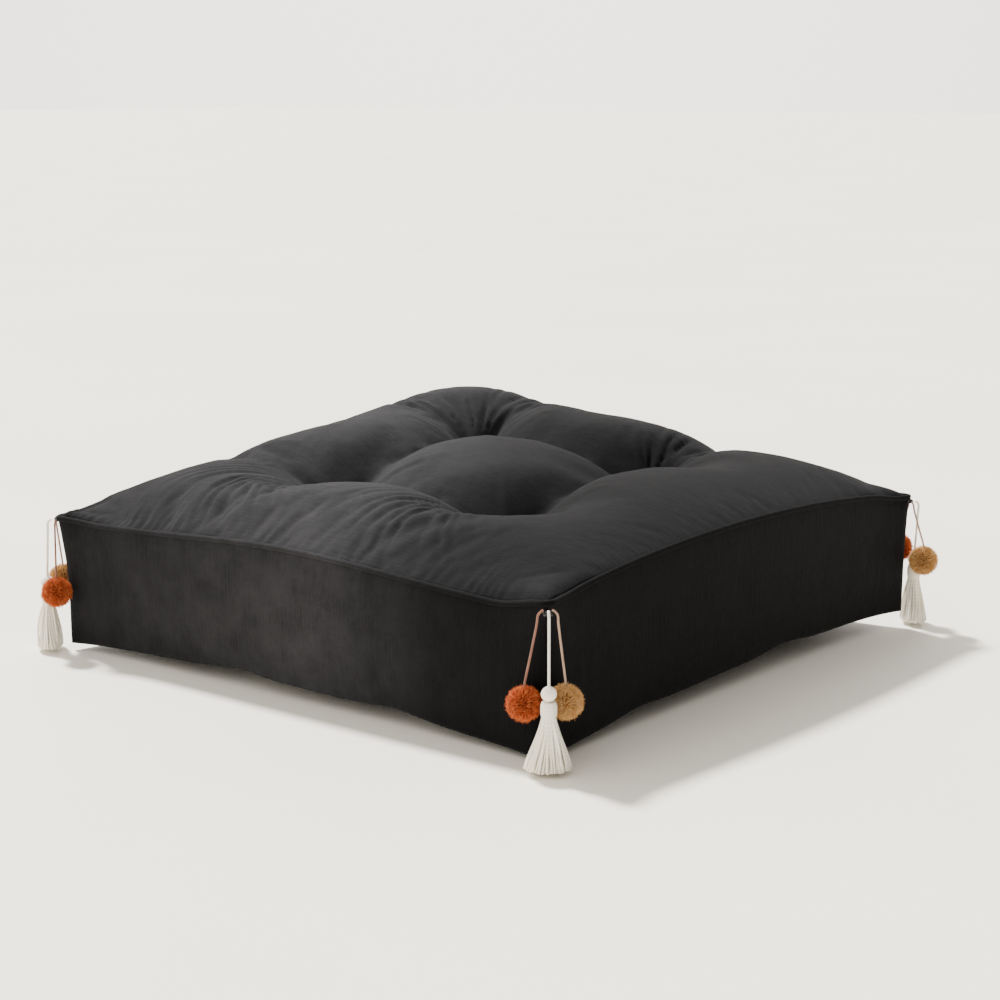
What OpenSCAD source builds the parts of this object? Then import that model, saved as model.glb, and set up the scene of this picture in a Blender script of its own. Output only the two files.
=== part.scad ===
// Square boxed floor cushion, tufted in four places, with two pompoms and a tassel hanging
// from each top corner. Millimetres, +Z up, origin on the floor under the middle.

/* [Cushion] */
// Width and depth over the piping at the top corners
cushion_w = 610; // [560:5:660]
// Height of the top seam at the corners
seam_z = 137; // [134:1:142]
// Rise of the top seam from a corner to the middle of a side
seam_rise = 12; // [4:1:16]
// Height of the crown above the top seam, before the tufts pull it down
crown_h = 60; // [36:1:64]
// How far the top seam pulls in between two corners
pull_in = 6; // [2:1:9]
// How far the corner edges tuck in below the top corners
corner_tuck = 10; // [9:0.5:12]
// How far the boxing tucks in towards the bottom seam at the middle of a side
side_tuck = 4; // [2:0.5:6]
// How far the boxing bulges at the middle of a side
side_bulge = 5; // [2:0.5:8]
// Height of the bottom seam at the corners
bottom_seam_z = 13; // [10:1:16]
// Rise of the bottom seam from a corner to the middle of a side
bottom_seam_rise = 8; // [4:1:10]
// Thickness of the velvet cover
cover_t = 1.6; // [1:0.1:2]
// Clearance between pieces that lie against each other
gap = 0.4; // [0.3:0.1:0.6]

/* [Piping] */
// Diameter of the piping over its fabric
piping_d = 5.5; // [4:0.5:6]
// Diameter of the cotton cord inside the piping
piping_cord_d = 3.4; // [2:0.2:3.6]

/* [Tufts] */
// Distance of each tuft from the middle planes
tuft_at = 110; // [90:5:130]
// Depth of the pit round a tuft in the top
tuft_depth = 62; // [30:1:70]
// Radius of the pit round a tuft in the top
tuft_r = 96; // [80:1:100]
// Depth of the dimple round a tuft in the bottom
dimple_depth = 12; // [10:1:16]
// Radius of the dimple round a tuft in the bottom
dimple_r = 60; // [50:1:70]
// Diameter of the waxed tufting twine
twine_d = 1.6; // [1:0.1:2]

/* [Pompoms] */
// Diameter of a pompom's dense yarn ball
pompom_d = 29; // [24:0.5:29.5]
// Diameter of a pompom's cord
pompom_cord_d = 2; // [1.6:0.1:2.2]

/* [Tassels] */
// Diameter of a tassel's ball head
head_d = 13; // [10:0.5:13]
// Height of the top of the ball head above the floor
head_top = 75; // [72:1:78]
// Outer diameter of the wound collar under the head
collar_d = 14; // [12:0.5:14.5]
// Height of the wound collar
collar_h = 13.5; // [11:0.5:14]
// Diameter of the thread bundle inside the collar
bundle_d = 10; // [8:0.5:10]
// Diameter of the skirt at its cut end
skirt_d = 40; // [30:1:42]
// Height of the skirt's cut end above the floor
skirt_lift = 2; // [1.5:0.5:4]
// Diameter of a tassel's cord
tassel_cord_d = 2.4; // [1.6:0.1:2.6]

/* [Hidden] */
CORNERS = ["front_left", "back_left", "front_right", "back_right"];
// Signs of x and y at each corner, in the order of CORNERS
CORNER_SIGNS = [[-1, -1], [-1, 1], [1, -1], [1, 1]];
// Where each corner's pompoms and tassel hang, in the order of CORNERS: they are tied by hand
// and swing freely, so no two corners match. [out past the x face, out past the y face] of
// their middles, and the height of the pompoms' middles.
RUST_AT = [[6.5, -19, 56], [12, -13, 63], [21, -25, 77], [6.5, -19, 64]];
TAN_AT = [[-16, 6.5, 57], [-16, 10.5, 68], [1, 15, 72], [-16, 6.5, 64]];
TASSEL_AT = [[6, 6], [5, 9], [15, -2.5], [6, 6]];
// Height at which the cords turn down at each corner
TURN_Z = [136, 132, 132, 132];
// Height of the bars of stitches that hold the cords
TACK_Z = 132;
HANGING = [
    "rust_cord", "rust_pompom", "tan_cord", "tan_pompom",
    "tassel_cord", "tassel_head", "tassel_collar", "tassel_skirt"
];

$fn = 48;
VELVET = [0.16, 0.16, 0.17];
RUST = [0.66, 0.27, 0.1];
TAN = [0.72, 0.56, 0.36];
CREAM = [0.92, 0.9, 0.84];
half_w = cushion_w / 2;
piping_r = piping_d / 2;
// Half the distance between the piping's centre lines at the corners
seam_half = half_w - piping_r;
// Sharpness of the corner ears along a side, and down the corner edges
EAR_POWER = 8;
TUCK_POWER = 4;
// Power of the crown's profile: higher is flatter in the middle
CROWN_POWER = 3;
// Cells of the top and bottom grids between the tufts' lines and outside them, and cells
// along a side panel and up it
GRID_MIDDLE = 8;
GRID_OUTER = 7;
PANEL_ALONG = 16;
PANEL_UP = 5;
PIPING_SEGMENTS = 12;
// Share of the half width over which the bottom lifts off the floor
LIFT_SHARE = 0.3;
// Share of the cover's plan that the filling takes, clear of the corner ears
FILL_SHARE = 0.955;
TUFTS = [for (x = [-1, 1]) for (y = [-1, 1]) [x * tuft_at, y * tuft_at]];

// The first points of the three cords at a corner, where they turn out from the seam and down:
// [out past the x face, out past the y face, share of the drop], with in counted negative.
// Below them a cord slants to the middle of what it holds.
RUST_TURN = [[1.6, -3.5, 0], [3.6, -4.5, 0.02], [5.5, -6, 0.07]];
TAN_TURN = [[-3.5, 1.6, 0], [-4.5, 3.6, 0.02], [-6, 5.5, 0.07]];
TASSEL_TURN = [[2.6, 2.6, 0], [4, 4, 0.02], [5.2, 5.2, 0.07]];
// [share of the way across to the middle, share of the drop] of the points below
SLANT = [[0.1, 0.2], [0.55, 0.6], [1, 1]];
CORD_SIDES = 8;
TACK_D = 3;
// Room between the covers and the stitches and knots that lie in their pits
THREAD_ROOM = 2;
KNOT_D = 9;
KNOT_H = 3;
STITCH_L = 9;

// ---- The cushion's surfaces ----

// Pull of one tuft at a distance r, from 1 at the twine to 0 at the edge of its pit
function pull(r, reach) = r < reach ? pow(1 - pow(r / reach, 2), 2) : 0;
function tuft_pull(x, y, reach) = pull(norm([abs(x) - tuft_at, abs(y) - tuft_at]), reach);

// Half width of the cushion on the top seam, at t from -1 to 1 along a side
function seam_out(t) = seam_half - pull_in * (1 - pow(abs(t), EAR_POWER));
function seam_height(t) = seam_z + seam_rise * (1 - t * t);
// Share of the half width at which the tufts lie
function tuft_share() = tuft_at / (seam_half - pull_in);
function bottom_height(t) = bottom_seam_z + bottom_seam_rise * (1 - t * t);

// Height of the top cover's outside at u, v from -1 to 1
function crown_z(u, v, x, y) =
    seam_z + seam_rise * (1 - pow(u * v, 2))
    + crown_h * (1 - pow(abs(u), CROWN_POWER)) * (1 - pow(abs(v), CROWN_POWER))
    - tuft_depth * tuft_pull(x, y, tuft_r);
function top_point(u, v, drop) =
    let (
        inset = piping_r + gap,
        x = u * (seam_out(v) - inset),
        y = v * (seam_out(u) - inset)
    )
    [x, y, crown_z(u, v, x, y) - drop];

// Half width of the boxing at a corner and at the middle of a side, w from 0 to 1 up it
function corner_half(w) = seam_half - corner_tuck * (1 - pow(w, TUCK_POWER));
function middle_half(w) =
    seam_half - pull_in - side_tuck * (1 - w) + side_bulge * 4 * w * (1 - w);
function side_half(u, w) =
    let (blend = pow(abs(u), EAR_POWER))
    corner_half(w) * blend + middle_half(w) * (1 - blend);
function side_point(u, w, inset) =
    let (
        low = bottom_height(u) + gap,
        high = seam_height(u) - piping_r - gap
    )
    [
        u * (corner_half(w) - gap - inset),
        inset - side_half(u, w),
        low + (high - low) * w
    ];

// Height of the bottom cover's outside: flat on the floor, lifting towards the seam
function lift(t) = max(0, abs(t) - 1 + LIFT_SHARE) / LIFT_SHARE;
function bottom_point(u, v, raise) =
    let (
        x = u * side_half(v, 0),
        y = v * side_half(u, 0),
        seam = bottom_height(abs(u) > abs(v) ? v : u) - cover_t
    )
    [x, y, seam * min(1, lift(u) + lift(v)) + dimple_depth * tuft_pull(x, y, dimple_r) + raise];

function steps(count, low, high) = [for (i = [0:count]) low + (high - low) * i / count];
// Shares of the half width from edge to edge, with a line through the tufts on each side
function grid_lines(edge) =
    let (
        tuft = tuft_share(),
        outer = [for (i = [1:GRID_OUTER - 1]) tuft + (1 - tuft) * i / GRID_OUTER]
    )
    concat(
        [-edge], [for (i = [GRID_OUTER - 2:-1:0]) -outer[i]],
        steps(GRID_MIDDLE, -tuft, tuft), outer, [edge]
    );

// A closed solid between two grids of points. The first grid's rows cross its columns so
// that their cross product points out of it.
module between(outer, inner) {
    rows = len(outer);
    cols = len(outer[0]);
    under = rows * cols;
    cells = [for (r = [0:rows - 2]) for (c = [0:cols - 2]) [
        r * cols + c, (r + 1) * cols + c, (r + 1) * cols + c + 1, r * cols + c + 1
    ]];
    rim = concat(
        [for (r = [0:rows - 2]) [r * cols, (r + 1) * cols]],
        [for (c = [0:cols - 2]) [(rows - 1) * cols + c, (rows - 1) * cols + c + 1]],
        [for (r = [rows - 1:-1:1]) [r * cols + cols - 1, (r - 1) * cols + cols - 1]],
        [for (c = [cols - 1:-1:1]) [c, c - 1]]
    );
    polyhedron(
        points = concat([for (row = outer) each row], [for (row = inner) each row]),
        faces = concat(
            [for (q = cells) each [[q[0], q[3], q[2]], [q[0], q[2], q[1]]]],
            [for (q = cells) each [
                [under + q[0], under + q[1], under + q[2]],
                [under + q[0], under + q[2], under + q[3]]
            ]],
            [for (e = rim) each [[e[0], e[1], under + e[1]], [e[0], under + e[1], under + e[0]]]]
        )
    );
}

// ---- Tubes swept along points ----

function unit(v) = v / norm(v);
function along(path, i) = unit(path[min(i + 1, len(path) - 1)] - path[max(i - 1, 0)]);
// One ring of a tube, square to the path, with a flat reference direction across it
function ring(middle, forward, across, r) =
    let (side = unit(across - forward * (across * forward)), up = cross(forward, side))
    [for (s = [0:CORD_SIDES - 1])
        middle + r * (cos(360 * s / CORD_SIDES) * side + sin(360 * s / CORD_SIDES) * up)];
function ring_faces(a, b) = [for (s = [0:CORD_SIDES - 1])
    let (t = (s + 1) % CORD_SIDES)
    each [[a + s, b + s, b + t], [a + s, b + t, a + t]]];

// A tube with closed ends along an open path
module open_tube(path, across, d) {
    last = (len(path) - 1) * CORD_SIDES;
    polyhedron(
        points = [for (i = [0:len(path) - 1]) each ring(path[i], along(path, i), across, d / 2)],
        faces = concat(
            [for (i = [0:len(path) - 2]) each ring_faces(i * CORD_SIDES, (i + 1) * CORD_SIDES)],
            [[for (s = [0:CORD_SIDES - 1]) s]],
            [[for (s = [CORD_SIDES - 1:-1:0]) last + s]]
        )
    );
}

// A tube along the whole top seam
module seam_tube(d) {
    side = [for (t = steps(PIPING_SEGMENTS, -1, 1)) [t * seam_half, -seam_out(t), seam_height(t)]];
    loop = [for (k = [0:3]) for (i = [0:PIPING_SEGMENTS - 1]) turned(side[i], k)];
    n = len(loop);
    polyhedron(
        points = [for (i = [0:n - 1])
            let (forward = unit(loop[(i + 1) % n] - loop[(i + n - 1) % n]))
            each ring(loop[i], forward, [forward[1], -forward[0], 0], d / 2)],
        faces = [for (i = [0:n - 1]) each ring_faces(i * CORD_SIDES, ((i + 1) % n) * CORD_SIDES)]
    );
}

// A point turned k quarter turns about the vertical axis
function turned(p, k) = k == 0 ? p : turned([-p[1], p[0], p[2]], k - 1);

// ---- The cover and what it holds ----

module cover_top() {
    t = grid_lines(1);
    color(VELVET)
        between(
            [for (u = t) [for (v = t) top_point(u, v, 0)]],
            [for (u = t) [for (v = t) top_point(u, v, cover_t)]]
        );
}

module cover_bottom() {
    t = grid_lines(1);
    color(VELVET)
        between(
            [for (u = t) [for (v = t) bottom_point(u, v, cover_t)]],
            [for (u = t) [for (v = t) bottom_point(u, v, 0)]]
        );
}

// The boxing strip of one side: k quarter turns from the front
module side_panel(k) {
    along_side = steps(PANEL_ALONG, -1, 1);
    up_side = steps(PANEL_UP, 0, 1);
    color(VELVET)
        rotate([0, 0, 90 * k])
            between(
                [for (u = along_side) [for (w = up_side) side_point(u, w, 0)]],
                [for (u = along_side) [for (w = up_side) side_point(u, w, cover_t)]]
            );
}

// The fabric sleeve of the piping round its cord
module top_piping() {
    color(VELVET)
        difference() {
            seam_tube(piping_d);
            seam_tube(piping_cord_d + 2 * gap);
        }
}

module piping_cord() {
    color(CREAM) seam_tube(piping_cord_d);
}

// The fibre stuffing: its grid follows the covers', apart from its outermost lines
module filling() {
    t = grid_lines(FILL_SHARE);
    clear = cover_t + 3 * gap;
    color("white")
        between(
            [for (u = t) [for (v = t) top_point(u, v, clear)]],
            [for (u = t) [for (v = t) bottom_point(u, v, clear)]]
        );
}

// ---- The tufts ----

function tuft_top() = crown_z(tuft_share(), tuft_share(), tuft_at, tuft_at);

// Waxed twine through the whole thickness, one length for each tuft
module tuft_twines() {
    low = dimple_depth - THREAD_ROOM;
    color(CREAM)
        for (at = TUFTS)
            translate([at[0], at[1], low])
                cylinder(d = twine_d, h = tuft_top() + THREAD_ROOM - low);
}

// The short stitch that shows at the bottom of each pit
module tuft_stitches() {
    color(VELVET)
        for (at = TUFTS)
            translate([at[0], at[1], tuft_top() + THREAD_ROOM + twine_d / 2])
                rotate([0, 90, 45])
                    cylinder(d = twine_d, h = STITCH_L, center = true);
}

// The flat knot that ties each twine under the bottom cover, inside its dimple
module tuft_knots() {
    color(CREAM)
        for (at = TUFTS)
            translate([at[0], at[1], dimple_depth - THREAD_ROOM - KNOT_H])
                cylinder(d = KNOT_D, h = KNOT_H);
}

// ---- The corners ----

// A point given by how far it lies out past the two faces that meet at a corner
function corner_point(i, out_x, out_y, z) =
    [CORNER_SIGNS[i][0] * (half_w + out_x), CORNER_SIGNS[i][1] * (half_w + out_y), z];
// A cord's route at a corner: its first points, then the slant down to its end
function cord_path(i, turn, end) =
    let (
        last = turn[len(turn) - 1],
        slant = [for (s = SLANT) [
            last[0] + s[0] * (end[0] - last[0]), last[1] + s[0] * (end[1] - last[1]), s[1]
        ]]
    )
    [for (p = concat(turn, slant))
        corner_point(i, p[0], p[1], TURN_Z[i] - p[2] * (TURN_Z[i] - end[2]))];
// A point on a tassel's axis
function tassel_point(i, z) = corner_point(i, TASSEL_AT[i][0], TASSEL_AT[i][1], z);
// The top of a pompom
function over(at) = [at[0], at[1], at[2] + pompom_d / 2];

// The bar of stitches that holds the three cords under the piping at each corner
module corner_tacks() {
    color(VELVET)
        for (i = [0:3])
            translate(corner_point(i, -3.6, -3.6, TACK_Z))
                rotate([0, 90, atan2(CORNER_SIGNS[i][1], CORNER_SIGNS[i][0])])
                    cylinder(d = TACK_D, h = 6);
}

module rust_cord(i) {
    color("sienna")
        open_tube(cord_path(i, RUST_TURN, over(RUST_AT[i])), [0, 1, 0], pompom_cord_d);
}

module rust_pompom(i) {
    color(RUST)
        translate(corner_point(i, RUST_AT[i][0], RUST_AT[i][1], RUST_AT[i][2]))
            sphere(d = pompom_d);
}

module tan_cord(i) {
    color(TAN)
        open_tube(cord_path(i, TAN_TURN, over(TAN_AT[i])), [1, 0, 0], pompom_cord_d);
}

module tan_pompom(i) {
    color(TAN)
        translate(corner_point(i, TAN_AT[i][0], TAN_AT[i][1], TAN_AT[i][2]))
            sphere(d = pompom_d);
}

module tassel_cord(i) {
    across = [CORNER_SIGNS[i][0], -CORNER_SIGNS[i][1], 0];
    color(CREAM)
        open_tube(cord_path(i, TASSEL_TURN, concat(TASSEL_AT[i], head_top)), across, tassel_cord_d);
}

// The ball at the top of a tassel, where its threads fold over the cord
module tassel_head(i) {
    color(CREAM)
        translate(tassel_point(i, head_top - head_d / 2))
            sphere(d = head_d);
}

// Binding thread wound into a barrel round the bundle
module tassel_collar(i) {
    waist = collar_d / 2 - 1;
    color(CREAM)
        translate(tassel_point(i, collar_low()))
            rotate_extrude()
                polygon([
                    [bundle_d / 2 + gap / 2, 0], [waist, 0],
                    [collar_d / 2, collar_h * 0.3], [collar_d / 2, collar_h * 0.7],
                    [waist, collar_h - gap], [bundle_d / 2 + gap / 2, collar_h - gap]
                ]);
}
function collar_low() = head_top - head_d - collar_h;

// The bundle of threads: gathered inside the collar, spreading below it to a cut end
module tassel_skirt(i) {
    low = skirt_lift;
    high = collar_low() - gap;
    color(CREAM)
        translate(tassel_point(i, 0))
            rotate_extrude()
                polygon([
                    [0, low], [skirt_d / 2, low],
                    [skirt_d * 0.38, low + (high - low) * 0.4],
                    [skirt_d * 0.28, low + (high - low) * 0.8],
                    [bundle_d / 2 + 2, high], [bundle_d / 2, high],
                    [bundle_d / 2, head_top - head_d - gap], [0, head_top - head_d - gap]
                ]);
}

cover_top();
cover_bottom();
side_panel(0);  // side_panel_front
side_panel(1);  // side_panel_right
side_panel(2);  // side_panel_back
side_panel(3);  // side_panel_left
top_piping();
piping_cord();
filling();
tuft_twines();
tuft_stitches();
tuft_knots();
corner_tacks();
for (i = [0:3]) {
    rust_cord(i);
    rust_pompom(i);
    tan_cord(i);
    tan_pompom(i);
    tassel_cord(i);
    tassel_head(i);
    tassel_collar(i);
    tassel_skirt(i);
}
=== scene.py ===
"""Looks of the tufted floor cushion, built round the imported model. Metres, +Z up."""

import math

import bpy
import numpy as np
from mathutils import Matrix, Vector


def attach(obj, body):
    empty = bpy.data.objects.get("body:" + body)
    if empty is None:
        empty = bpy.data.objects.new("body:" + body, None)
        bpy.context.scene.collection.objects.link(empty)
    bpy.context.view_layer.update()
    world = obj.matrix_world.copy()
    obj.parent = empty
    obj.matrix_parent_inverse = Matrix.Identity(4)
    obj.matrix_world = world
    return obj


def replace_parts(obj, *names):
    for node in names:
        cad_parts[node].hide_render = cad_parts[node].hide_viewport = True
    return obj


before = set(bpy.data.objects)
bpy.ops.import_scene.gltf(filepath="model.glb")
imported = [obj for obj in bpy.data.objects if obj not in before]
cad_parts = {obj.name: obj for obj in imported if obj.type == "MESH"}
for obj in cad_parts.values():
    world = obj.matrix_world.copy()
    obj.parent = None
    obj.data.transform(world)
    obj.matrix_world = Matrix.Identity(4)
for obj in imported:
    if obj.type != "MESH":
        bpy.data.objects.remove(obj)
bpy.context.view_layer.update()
rng = np.random.default_rng(7)

# ---- Sizes, as in the model ----

HALF_W = 0.305
PIPING_R = 0.00275
PIPING_CORD_R = 0.0017
SEAM_HALF = HALF_W - PIPING_R
COVER_T = 0.0016
TUFT_AT = 0.110
DIMPLE_DEPTH = 0.012
DIMPLE_R = 0.060
TACK_Z = 0.132
POMPOM_R = 0.0145
POMPOM_CORD_D = 0.002
TASSEL_CORD_D = 0.0024
HEAD_TOP = 0.075
HEAD_R = 0.0065
COLLAR_H = 0.0135
COLLAR_R = 0.007
SKIRT_LIFT = 0.002
CORNERS = {
    "front_left": (-1, -1),
    "back_left": (-1, 1),
    "front_right": (1, -1),
    "back_right": (1, 1),
}
TURN_Z = {"front_left": 0.136, "back_left": 0.132, "front_right": 0.132, "back_right": 0.132}
# Middles of what hangs at each corner: out past the x face, out past the y face, and height
RUST_AT = {
    "front_left": (0.0065, -0.019, 0.056),
    "back_left": (0.012, -0.013, 0.063),
    "front_right": (0.021, -0.025, 0.077),
    "back_right": (0.0065, -0.019, 0.064),
}
TAN_AT = {
    "front_left": (-0.016, 0.0065, 0.057),
    "back_left": (-0.016, 0.0105, 0.068),
    "front_right": (0.001, 0.015, 0.072),
    "back_right": (-0.016, 0.0065, 0.064),
}
TASSEL_AT = {
    "front_left": (0.006, 0.006),
    "back_left": (0.005, 0.009),
    "front_right": (0.015, -0.0025),
    "back_right": (0.006, 0.006),
}
# First points of the cords, where they turn out from the seam: out past the x face, out past
# the y face, share of the drop
TURNS = {
    "rust": ((0.0016, -0.0035, 0), (0.0036, -0.0045, 0.02), (0.0055, -0.006, 0.07)),
    "tan": ((-0.0035, 0.0016, 0), (-0.0045, 0.0036, 0.02), (-0.006, 0.0055, 0.07)),
    "tassel": ((0.0026, 0.0026, 0), (0.004, 0.004, 0.02), (0.0052, 0.0052, 0.07)),
}
# The points below: share of the way across to the middle, share of the drop
SLANT = ((0.1, 0.2), (0.55, 0.6), (1, 1))


# ---- Camera ----

LENS = 77.4
CAMERA_AT = (-1.6398, -1.3306, 0.5571)
# In degrees: up from looking straight down, and round from looking along +Y
CAMERA_TILT = 78.89
CAMERA_TURN = -51.15


def make_camera():
    data = bpy.data.cameras.new("camera")
    data.sensor_width = 36
    data.lens = LENS
    camera = bpy.data.objects.new("camera", data)
    camera.location = CAMERA_AT
    camera.rotation_euler = (math.radians(CAMERA_TILT), 0, math.radians(CAMERA_TURN))
    bpy.context.scene.collection.objects.link(camera)
    bpy.context.scene.camera = camera


make_camera()


# ---- Mesh helpers ----

def read(items, attribute, size=3, kind=np.float32):
    """An attribute of a mesh's vertices, edges, corners or faces, as rows where size is over 1."""
    values = np.zeros(len(items) * size, kind)
    items.foreach_get(attribute, values)
    return values.reshape(-1, size) if size > 1 else values


def vertices_of(mesh):
    return read(mesh.vertices, "co").astype(float)


def add_piece(name, points, faces, material, body, uvs=None):
    """A mesh object that rides on a body. uvs holds one (u, v) for each vertex, in metres."""
    mesh = bpy.data.meshes.new(name)
    mesh.from_pydata([tuple(p) for p in points], [], faces)
    mesh.materials.append(material)
    if uvs is not None:
        corners = read(mesh.loops, "vertex_index", 1, np.int32)
        layer = mesh.uv_layers.new(name="cut")
        layer.data.foreach_set("uv", np.asarray(uvs, np.float32)[corners].ravel())
    mesh.shade_smooth()
    mesh.update()
    piece = bpy.data.objects.new(name, mesh)
    bpy.context.scene.collection.objects.link(piece)
    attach(piece, body)
    return piece


def run_along(path):
    """Length along a path at each of its points."""
    return np.concatenate([[0], np.cumsum(np.linalg.norm(np.diff(path, axis=0), axis=1))])


def smooth_path(points, count):
    """count points evenly along a smooth line through the given ones."""
    p = np.asarray(points, float)
    p = np.vstack([2 * p[0] - p[1], p, 2 * p[-1] - p[-2]])
    fine = []
    for a, b, c, d in zip(p[:-3], p[1:-2], p[2:-1], p[3:]):
        square, cube = 2 * a - 5 * b + 4 * c - d, 3 * b - a - 3 * c + d
        for t in np.linspace(0, 1, 24, endpoint=False):
            fine.append(0.5 * (2 * b + (c - a) * t + square * t**2 + cube * t**3))
    fine = np.array([*fine, p[-2]])
    run = run_along(fine)
    at = np.linspace(0, run[-1], count)
    return np.stack([np.interp(at, run, fine[:, k]) for k in range(3)], axis=1)


def winding(middle, turn, radius, z):
    """A line round the vertical axis through middle."""
    x, y = middle[0] + radius * np.cos(turn), middle[1] + radius * np.sin(turn)
    return np.stack([x, y, z], axis=1)


def upright(middle, z):
    """A straight line up through middle."""
    return winding(middle, 0 * z, 0, z)


def sweep(path, radius, sides, closed=False, across=(0.0, 0.0, 1.0)):
    """Vertices, faces and (round, along) for a tube. radius is a function of the angle and of
    the length along the path, or a number."""
    path = np.asarray(path, float)
    n = len(path)
    if closed:
        ahead = np.roll(path, -1, axis=0) - np.roll(path, 1, axis=0)
    else:
        ahead = np.gradient(path, axis=0)
    ahead /= np.linalg.norm(ahead, axis=1, keepdims=True)
    across = np.asarray(across, float)
    up = across - ahead * (ahead @ across)[:, None]
    up /= np.linalg.norm(up, axis=1, keepdims=True)
    side = np.cross(up, ahead)
    turn = np.arange(sides) * 2 * math.pi / sides
    angle, length = np.meshgrid(turn, run_along(path))
    r = radius(angle, length) if callable(radius) else np.full(angle.shape, float(radius))
    ring = np.cos(angle)[..., None] * side[:, None] + np.sin(angle)[..., None] * up[:, None]
    points = (path[:, None] + r[..., None] * ring).reshape(-1, 3)
    faces = []
    for i in range(n if closed else n - 1):
        a, b = i * sides, (i + 1) % n * sides
        for s in range(sides):
            t = (s + 1) % sides
            faces.append((a + s, a + t, b + t, b + s))
    if not closed:
        faces.append(tuple(range(sides - 1, -1, -1)))
        faces.append(tuple((n - 1) * sides + s for s in range(sides)))
    uvs = np.stack([angle * r, length], axis=-1).reshape(-1, 2)
    return points, faces, uvs


def closed_faces(rows, around):
    """Faces of a closed shape made of rings of vertices: its two caps, then rows of quads."""
    faces = [tuple(range(around)), tuple(rows * around + s for s in range(around - 1, -1, -1))]
    for i in range(rows):
        for s in range(around):
            a, b = i * around, (s + 1) % around
            faces.append((a + s, a + around + s, a + around + b, a + b))
    return faces


class Bundle:
    """Many small closed shapes gathered into one mesh."""

    def __init__(self):
        self.points, self.faces, self.uvs, self.count = [], [], [], 0

    def add(self, points, faces, uvs):
        self.faces += [tuple(self.count + i for i in f) for f in faces]
        self.points.append(points)
        self.uvs.append(uvs)
        self.count += len(points)

    def piece(self, name, material, slot, body):
        return add_piece(
            name, np.vstack(self.points), self.faces, material, body, np.vstack(self.uvs)
        )


# ---- Materials ----

def add_node(tree, kind, inputs=None, **settings):
    """A new node. inputs maps a socket's name or number to its value, or to what feeds it."""
    made = tree.nodes.new(kind)
    for key, value in settings.items():
        setattr(made, key, value)
    for key, value in (inputs or {}).items():
        if isinstance(value, bpy.types.NodeSocket):
            tree.links.new(value, made.inputs[key])
        else:
            made.inputs[key].default_value = value
    return made


class Material:
    """A material with one Principled shader, and short ways to add nodes to it."""

    def __init__(self, name, specular, sheen=0.0, sheen_tint=(1, 1, 1)):
        self.data = bpy.data.materials.new(name)
        self.data.use_nodes = True
        self.tree = self.data.node_tree
        self.shader = self.tree.nodes["Principled BSDF"]
        self.shader.inputs["Sheen Weight"].default_value = sheen
        self.shader.inputs["Sheen Tint"].default_value = (*sheen_tint, 1)
        self.shader.inputs["Specular IOR Level"].default_value = specular

    def node(self, kind, inputs=None, **settings):
        return add_node(self.tree, kind, inputs, **settings)

    def noise(self, coordinates, scale, detail=3.0, rough=0.55):
        inputs = {"Vector": coordinates, "Scale": scale, "Detail": detail, "Roughness": rough}
        return self.node("ShaderNodeTexNoise", inputs).outputs["Fac"]

    def wave(self, coordinates, period, distortion, detail_scale, axis="X"):
        inputs = {
            "Vector": coordinates,
            "Scale": 2 * math.pi / (20 * period),
            "Distortion": distortion,
            "Detail": 2.0,
            "Detail Scale": detail_scale,
        }
        return self.node("ShaderNodeTexWave", inputs, bands_direction=axis).outputs["Fac"]

    def remap(self, value, low, high):
        """A value that runs from 0 to 1, made to run from low to high."""
        inputs = {"Value": value, "To Min": low, "To Max": high}
        return self.node("ShaderNodeMapRange", inputs).outputs["Result"]

    def ramp(self, value, stops):
        made = self.node("ShaderNodeValToRGB", {"Fac": value})
        band = made.color_ramp.elements
        while len(band) < len(stops):
            band.new(0.5)
        for element, (position, color) in zip(band, stops):
            element.position = position
            element.color = (*color, 1)
        return made.outputs["Color"]

    def mix(self, share, a, b, blend="MIX"):
        """Two colours mixed. The node's sockets 0, 6 and 7 are a colour mix's share, A and B."""
        inputs = {0: share, 6: a, 7: b}
        return self.node("ShaderNodeMix", inputs, data_type="RGBA", blend_type=blend).outputs[2]

    def finish(self, color, rough, bumps=()):
        """Links the colour, the roughness and a chain of (height, strength, distance) bumps."""
        links = self.tree.links
        links.new(color, self.shader.inputs["Base Color"])
        links.new(rough, self.shader.inputs["Roughness"])
        normal = None
        for height, strength, distance in bumps:
            inputs = {"Height": height, "Strength": strength, "Distance": distance}
            if normal is not None:
                inputs["Normal"] = normal
            normal = self.node("ShaderNodeBump", inputs).outputs["Normal"]
        if normal is not None:
            links.new(normal, self.shader.inputs["Normal"])
        return self.data


def object_coordinates(m):
    return m.node("ShaderNodeTexCoord").outputs["Object"]


def cut_coordinates(m):
    return m.node("ShaderNodeUVMap", uv_map="cut").outputs["UV"]


# Width of one rib of the velvet
RIB = 0.0021
# Painted light and shade on the velvet: the way along which it runs, half its length, and the
# colour's strength at shares of it
PAINTED_LIGHT_WAY = (-0.5, 1.0, 0.0)
PAINTED_LIGHT_HALF = 0.45
PAINTED_LIGHT_STEPS = (
    (0, 0.42), (0.25, 0.30), (0.40, 0.38), (0.47, 0.55),
    (0.53, 1.4), (0.64, 2.4), (0.86, 1.4), (1, 0.95),
)


def painted_light(m, place):
    """Painted light and shade on the velvet's colour: dark at the front right corner, lighter
    towards the back left.
    """
    along = m.node("ShaderNodeVectorMath", {0: place, 1: PAINTED_LIGHT_WAY}, operation="DOT_PRODUCT")
    inputs = {"Value": along.outputs["Value"], "From Min": -PAINTED_LIGHT_HALF, "From Max": PAINTED_LIGHT_HALF}
    share = m.node("ShaderNodeMapRange", inputs).outputs["Result"]
    return m.ramp(share, [(at, (strength,) * 3) for at, strength in PAINTED_LIGHT_STEPS])


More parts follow.
